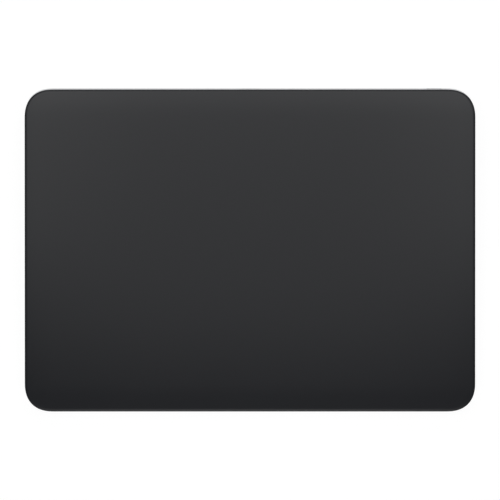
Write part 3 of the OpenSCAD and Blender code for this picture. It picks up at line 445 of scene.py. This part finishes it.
# Battery: a flat pouch cell in dark laminated foil, held to the floor by foam tape, with a narrow
# guard board on its terrace and a ribbon that runs on to the main board.
pouch_foil, place = new_finish("pouch_foil", {"Metallic": 0.6})
crinkle = noise(place, 0.16, 4.0)
mottle(
    pouch_foil,
    crinkle,
    colours=((0.034, 0.034, 0.04), (0.05, 0.05, 0.057)),
    roughness=(0.32, 0.48),
    depth=0.12,
)
foam_tape, place = new_finish("foam_tape", {"IOR": 1.45})
cells = place.node("TexVoronoi", {"Vector": place, "Scale": 4.0})
mottle(
    foam_tape,
    cells,
    colours=((0.72, 0.72, 0.66), (0.78, 0.78, 0.73)),
    roughness=(0.7, 0.9),
    depth=0.03,
)
solder_mask, place = new_finish("solder_mask", {"Coat Weight": 0.3, "Coat Roughness": 0.2})
bundle = noise(place, 0.09, 1.0) > 0.5
tracks_x = stripes(place, 0.4, "X") > 0.7
tracks_y = stripes(place, 0.4, "Y") > 0.7
tracks = tracks_x * bundle + tracks_y * (1 - bundle)
vias = place.node("TexVoronoi", {"Vector": place, "Scale": 0.35}) < 0.09
laminate = tint(tracks, (0.005, 0.034, 0.017), (0.012, 0.075, 0.036))
feed(
    solder_mask,
    {
        "Base Color": tint(vias, laminate, (0.62, 0.44, 0.14)),
        "Metallic": 0.9 * vias,
        "Roughness": 0.42 - 0.1 * tracks,
        "Normal": relief(tracks, 0.02),
    },
)
dress(pouch_foil, "battery_cell")
dress(foam_tape, "battery_tape")
dress(solder_mask, "battery_board")
dress(ribbon_along_x, "battery_flex")


# Main board: green laminate on four bosses, with the processor, driver, charger and chokes, a
# steel can over the radio, and plugs for every ribbon.
chip_resin, place = new_finish("chip_resin", {"IOR": 1.55})
filler = noise(place, 6.0, 3.0)
mottle(
    chip_resin,
    filler,
    colours=((0.008, 0.008, 0.009), (0.016, 0.016, 0.017)),
    roughness=(0.5, 0.7),
    depth=0.008,
)
dress(solder_mask, "main_board")
dress(chip_resin, "main_chips", "board_connectors")
dress(sheet_steel, "radio_shield")
dress(screw_steel, "board_screws")


# Charging port: a drawn steel shell round a tongue with gold contacts on both faces, let into the
# rear wall and held from above by a steel strap with two screws.
contact_gold, place = new_finish("contact_gold", {"Metallic": 1.0})
rub = noise(stretched(place, (4.0, 0.4, 4.0)), 1.0, 3.0)
mottle(
    contact_gold,
    rub,
    colours=((0.72, 0.47, 0.12), (0.82, 0.6, 0.22)),
    roughness=(0.16, 0.3),
)
dress(sheet_steel, "port_shell", "port_bracket")
dress(chip_resin, "port_tongue")
dress(contact_gold, "port_contacts")
dress(screw_steel, "port_screws")
dress(ribbon_along_x, "port_flex")


# Power switch: an aluminium slider in a slot of the rear wall, with a green inlay that the slot
# shows when it is on. It drives the knob of a small switch on a steel bracket behind it.
indicator_green, place = new_finish("indicator_green", {"IOR": 1.5})
grain = noise(place, 2.0, 3.0)
mottle(
    indicator_green,
    grain,
    colours=((0.012, 0.3, 0.03), (0.018, 0.38, 0.045)),
    roughness=(0.4, 0.55),
)
knob_plastic, place = new_finish("knob_plastic", {"IOR": 1.5})
grain = noise(place, 3.0, 3.0)
mottle(
    knob_plastic,
    grain,
    colours=((0.66, 0.66, 0.61), (0.72, 0.72, 0.67)),
    roughness=(0.4, 0.6),
    depth=0.006,
)
ribbon_along_y = ribbon_finish("ribbon_along_y", "X")
dress(aluminium, "switch_slider")
dress(indicator_green, "switch_indicator")
dress(chip_resin, "switch_body")
dress(knob_plastic, "switch_knob")
dress(sheet_steel, "switch_bracket")
dress(screw_steel, "switch_screws")
dress(ribbon_along_y, "switch_flex")


# Deck's back: the electrode board bonded under the glass, its chips, a steel plate that stiffens
# it, the rail that the coils pull on, and a ribbon that bends as the deck moves.
RIBBON_FOOT = 4.5
RIBBON_TOP = 6.3
RIBBON_CUTS = 10
bond_film, place = new_finish("bond_film", {"IOR": 1.47})
bubbles = noise(place, 0.3, 3.0)
mottle(
    bond_film,
    bubbles,
    colours=((0.45, 0.45, 0.4), (0.5, 0.5, 0.45)),
    roughness=(0.25, 0.45),
)
dress(bond_film, "deck_bond")
dress(solder_mask, "sensor_board")
dress(chip_resin, "touch_controllers")
dress(spring_steel, "deck_stiffener")
dress(core_steel, "attraction_rail")
dress(screw_steel, "rail_screws")
dress(ribbon_along_y, "sensor_flex")
bends = np.linspace(RIBBON_FOOT, RIBBON_TOP, RIBBON_CUTS)
film = smooth_copy("sensor_flex", (0, 0, 1), bends)
ribbon = new_piece("bending_sensor_ribbon", film, ribbon_along_y)
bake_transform(ribbon)
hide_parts("sensor_flex")


# Gel pads: four squares of soft blue-grey gel, cast between the beams' free ends and the
# stiffener. They swell at mid height, and shear when the shaker jolts the deck.
PAD_X, PAD_V = 53.5, 34.0
PAD_SIZE, PAD_ROUND = (7.0, 7.0), 1.2
PAD_LEVELS = (-2.8, -2.3)
PAD_SWELL = 0.14
PAD_RINGS = 9
gel, place = new_finish("soft_gel", {"IOR": 1.41, "Coat Weight": 0.3})
cure = noise(place, 0.4)
mottle(
    gel,
    cure,
    colours=((0.36, 0.44, 0.52), (0.42, 0.5, 0.57)),
    roughness=(0.2, 0.35),
)
# A pad's outline is drawn in by a parabola of the height, which comes to nothing half way up.
rise = np.linspace(0.0, 1.0, PAD_RINGS)[:, None]
swell = outline(PAD_SIZE, PAD_ROUND, PAD_SWELL * (1.0 - 4.0 * rise * (1.0 - rise)), steps=6)
pad_w = PAD_LEVELS[0] + (PAD_LEVELS[1] - PAD_LEVELS[0]) * rise
for corner, (side, end) in CORNERS.items():
    node = f"gel_pad_{corner}"
    dress(gel, node)
    rings = on_deck(side * PAD_X + swell[..., 0], end * PAD_V + swell[..., 1], pad_w)
    pad = new_piece(f"swelled_{node}", skin_through(rings), gel)
    foot, head = on_deck(side * PAD_X, end * PAD_V, np.array(PAD_LEVELS))
    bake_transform(pad)
    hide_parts(node)


# Touch glass: one plate of glass, ground to the outline, with a soft polished edge. Its top is
# etched to a satin that a finger slides on, falls away a little towards the edge, and is black
# from the coat on its back.
GLASS = (160.0, DECK_DEEP)
GLASS_T = 1.0
CORNER_REACH, CORNER_POWER = 10.3, 2.4
BACK_FLAT_IN = 1.0
BACK_ROUND = 0.15
EDGE_WIDE, EDGE_DEEP = 1.3, 0.32
CROWN_WIDE, CROWN_DEEP = 8.2, 0.17
BACK_STEPS, EDGE_STEPS, CROWN_STEPS = 4, 14, 12
black_glass, place = new_finish("etched_black_glass", {"IOR": 1.5})
etch = noise(place, 5.0)
haze = noise(place, 0.03)
feed(
    black_glass,
    {
        "Base Color": tint(haze, (0.0186, 0.02, 0.0237), (0.0196, 0.021, 0.0249)),
        "Roughness": 0.18 + 0.03 * etch + 0.02 * haze,
    },
)
dress(black_glass, "touch_glass")
# The rings go from the back's flat round a quarter circle to the side, over a quarter ellipse to
# the soft edge, and up the crown, which rises to the flat top as a square of the way left to it.
turn = quarter_turn(BACK_STEPS)
back_in, back_w = BACK_ROUND * (1 - np.sin(turn)), -GLASS_T + BACK_ROUND * (1 - np.cos(turn))
turn = quarter_turn(EDGE_STEPS)
edge_in, edge_w = EDGE_WIDE * (1 - np.cos(turn)), EDGE_DEEP * (np.sin(turn) - 1) - CROWN_DEEP
rise = np.linspace(0.0, 1.0, CROWN_STEPS + 1)[1:]
crown_in, crown_w = EDGE_WIDE + CROWN_WIDE * rise, -CROWN_DEEP * (1 - rise) ** 2
inset = np.concatenate([[BACK_FLAT_IN], back_in, edge_in, crown_in])[:, None]
level = np.concatenate([[-GLASS_T], back_w, edge_w, crown_w])[:, None]
rings = outline(GLASS, CORNER_REACH, inset, CORNER_POWER, steps=28)
ground = skin_through(on_deck(rings[..., 0], rings[..., 1], level))
plate = new_piece("touch_plate", ground, black_glass)
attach(plate, "touch_deck")
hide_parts("touch_glass")


# Bottom cover: a thin sheet of matte polymer, die cut and glued over the tub's underside, which
# hides the screws of the beams and lets the radio through.
cover_polymer, place = new_finish("cover_polymer", {"IOR": 1.5})
grain = noise(place, 2.5, 3.0)
mottle(
    cover_polymer,
    grain,
    colours=((0.66, 0.66, 0.675), (0.7, 0.7, 0.715)),
    roughness=(0.5, 0.66),
    depth=0.006,
    clouds=noise(place, 0.04),
)
dress(cover_polymer, "bottom_cover")


# Feet: four round rubber pads, moulded with a rounded rim and glued in pockets of the cover, so
# that the trackpad stands still while the deck is pressed.
FOOT_R, FOOT_H = 5.0, 0.85
FOOT_FLAT_R = 3.0
FOOT_ROUND = 0.4
FOOT_STEPS, FOOT_SIDES = 6, 64
foot_rubber, place = new_finish("foot_rubber", {"IOR": 1.5})
skin = noise(place, 4.0, 3.0)
mottle(
    foot_rubber,
    skin,
    colours=((0.03, 0.03, 0.032), (0.042, 0.042, 0.044)),
    roughness=(0.7, 0.85),
    depth=0.012,
)
# A foot's profile goes from the flat sole round a quarter circle to a straight side, and is turned.
turn = quarter_turn(FOOT_STEPS)
rim_r, rim_z = FOOT_R - FOOT_ROUND * (1 - np.sin(turn)), FOOT_ROUND * (1 - np.cos(turn))
foot_r = np.concatenate([[FOOT_FLAT_R], rim_r, [FOOT_R]])[:, None]
foot_z = np.concatenate([[0.0], rim_z, [FOOT_H]])[:, None]
round_foot = np.linspace(0.0, 2 * np.pi, FOOT_SIDES, endpoint=False)[None, :]
for corner in CORNERS:
    node = f"foot_{corner}"
    dress(foot_rubber, node)
    low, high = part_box(node)
    x = (low.x + high.x) / 2 + foot_r * MM * np.cos(round_foot)
    y = (low.y + high.y) / 2 + foot_r * MM * np.sin(round_foot)
    rings = np.stack(np.broadcast_arrays(x, y, foot_z * MM), axis=-1)
    foot = new_piece(f"rubber_{node}", skin_through(rings), foot_rubber)
    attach(foot, "base")
    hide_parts(node)


# Studio: a white floor under a wide panel of light, brightest behind the trackpad and fading
# towards the user, with a strip in front and a soft box at each end of a room that is white at
# the horizon and darker overhead. The floor is seen as white, and keeps the trackpad's shadow.
FLOOR_HALF = 3.0
FLOOR_SHADE, FLOOR_GLOW, FLOOR_SEEN = 0.22, 0.5, 0.9
# Marks on the panel are metres towards the rear, or out from the middle, and the level there.
PANEL_HIGH, PANEL_HALF = 0.25, 0.35
PANEL_MIDDLE = (
    (-0.35, 0.7),
    (-0.175, 1.2),
    (-0.11, 0.02),
    (-0.085, 0.15),
    (-0.055, 0.58),
    (0.025, 0.75),
    (0.065, 1.4),
    (0.12, 0.7),
    (0.35, 0.6),
)
PANEL_SIDES = (
    (-0.35, 0.3),
    (-0.175, 0.6),
    (-0.09, 0.02),
    (-0.015, 0.92),
    (0.015, 0.94),
    (0.065, 1.8),
    (0.12, 0.7),
    (0.35, 0.5),
)
PANEL_FADE = ((0.0, 1.0), (0.105, 1.0), (0.15, 0.3), (0.35, 0.2))
SIDES_FROM, SIDES_RISE = 0.04, 20.0
END_BOXES = ((0.0, -0.75, 0.45), (0.0, 0.75, 0.45))
END_BOX_SIZE = (1.0, 0.4)
END_BOX_WATTS = 1.0
# Marks on the room's walls are the height of the way to them, from 0 level to 1 overhead.
SKY_ENDS = (
    (0.0, 1.0),
    (0.05, 0.6),
    (0.2, 0.4),
    (0.55, 0.5),
    (0.8, 0.35),
    (0.93, 0.05),
    (1.0, 0.02),
)
SKY_SIDES = ((0.0, 1.0), (0.05, 0.55), (0.2, 0.3), (0.6, 0.15), (0.9, 0.03), (1.0, 0.02))
CAMERA_FAR = 7.0
CAMERA_LEAN = math.radians(0.78)
CAMERA_AIM = (0.0, 0.00004, 0.0079)
FIELD = 0.17752


def bare(owner):
    """The emptied node tree of a material or world, as a wire to add nodes from."""
    owner.use_nodes = True
    owner.node_tree.nodes.clear()
    return Wire(owner.node_tree)


def grey(level):
    """Colour of that level, with no hue."""
    return (level, level, level)


def graded(place, marks):
    """Grey that runs evenly from mark to mark, each a place and the level there."""
    low, high = marks[0][0], marks[-1][0]
    stops = [((spot - low) / (high - low), (*grey(level), 1.0)) for spot, level in marks]
    return place.node("ValToRGB", {"Fac": (place - low) * (1 / (high - low))}, stops=stops)


def stage_square(name, half, height, paint):
    """A level square of the stage, which faces up."""
    mesh = bpy.data.meshes.new(name)
    corners = [(half * x, half * y, height) for x, y in ((-1, -1), (1, -1), (1, 1), (-1, 1))]
    mesh.from_pydata(corners, [], [range(4)])
    mesh.materials.append(paint)
    made = bpy.data.objects.new(name, mesh)
    bpy.context.scene.collection.objects.link(made)
    return made


floor_paint = bpy.data.materials.new("white_floor")
floor_paint.cycles.emission_sampling = "NONE"
ray = bare(floor_paint)
seen = ray.node("LightPath", {}, output="Is Camera Ray")
seen = seen + ray.node("LightPath", {}, output="Is Glossy Ray")
seen = seen + ray.node("LightPath", {}, output="Is Transmission Ray")
shade = ray.node("BsdfDiffuse", {"Color": (*grey(FLOOR_SHADE), 1.0)})
glow = ray.node("Emission", {"Color": tint(seen, grey(FLOOR_GLOW), grey(FLOOR_SEEN))})
above = ray.node("AddShader", {0: shade, 1: glow})
below = ray.node("NewGeometry", {}, output="Backfacing")
clear = ray.node("BsdfTransparent", {})
ray.node("OutputMaterial", {"Surface": ray.node("MixShader", {0: below, 1: above, 2: clear})})
stage_square("floor", FLOOR_HALF, 0.0, floor_paint)

panel_paint = bpy.data.materials.new("graded_panel")
lit = bare(panel_paint)
place = lit.node("TexCoord", {}, output="Object")
across = lit.node("SeparateXYZ", {"Vector": place}, output="X")
across = across.node("Math", {0: across}, operation="ABSOLUTE")
along = lit.node("SeparateXYZ", {"Vector": place}, output="Y")
to_sides = (across - SIDES_FROM) * SIDES_RISE
light = tint(to_sides, graded(along, PANEL_MIDDLE), graded(along, PANEL_SIDES))
faded = tint(graded(across, PANEL_FADE), grey(0.0), light)
lit.node("OutputMaterial", {"Surface": lit.node("Emission", {"Color": faded})})
panel = stage_square("panel", PANEL_HALF, PANEL_HIGH, panel_paint)
panel.visible_camera = False

for stand in END_BOXES:
    lamp = bpy.data.lights.new("soft_box", "AREA")
    lamp.shape, lamp.energy = "RECTANGLE", END_BOX_WATTS
    lamp.size, lamp.size_y = END_BOX_SIZE
    soft_box = bpy.data.objects.new("soft_box", lamp)
    soft_box.location = stand
    soft_box.rotation_euler = soft_box.location.to_track_quat("Z", "Y").to_euler()
    soft_box.visible_camera = False
    bpy.context.scene.collection.objects.link(soft_box)

room = bpy.data.worlds.new("white_room")
sky = bare(room)
way = sky.node("TexCoord", {}, output="Generated")
height = sky.node("SeparateXYZ", {"Vector": way}, output="Z")
aside = sky.node("SeparateXYZ", {"Vector": way}, output="X")
walls = tint(aside * aside, graded(height, SKY_ENDS), graded(height, SKY_SIDES))
sky.node("OutputWorld", {"Surface": sky.node("Background", {"Color": walls})})
bpy.context.scene.world = room

eye = bpy.data.cameras.new("eye")
eye.lens = eye.sensor_width * CAMERA_FAR / FIELD
eye.clip_end = 2 * CAMERA_FAR
camera = bpy.data.objects.new("eye", eye)
back = np.array([0.0, math.sin(CAMERA_LEAN), math.cos(CAMERA_LEAN)])
camera.location = np.array(CAMERA_AIM) + CAMERA_FAR * back
camera.rotation_euler = (-CAMERA_LEAN, 0.0, 0.0)
bpy.context.scene.collection.objects.link(camera)
bpy.context.scene.camera = camera
bpy.context.scene.view_settings.view_transform = "Standard"
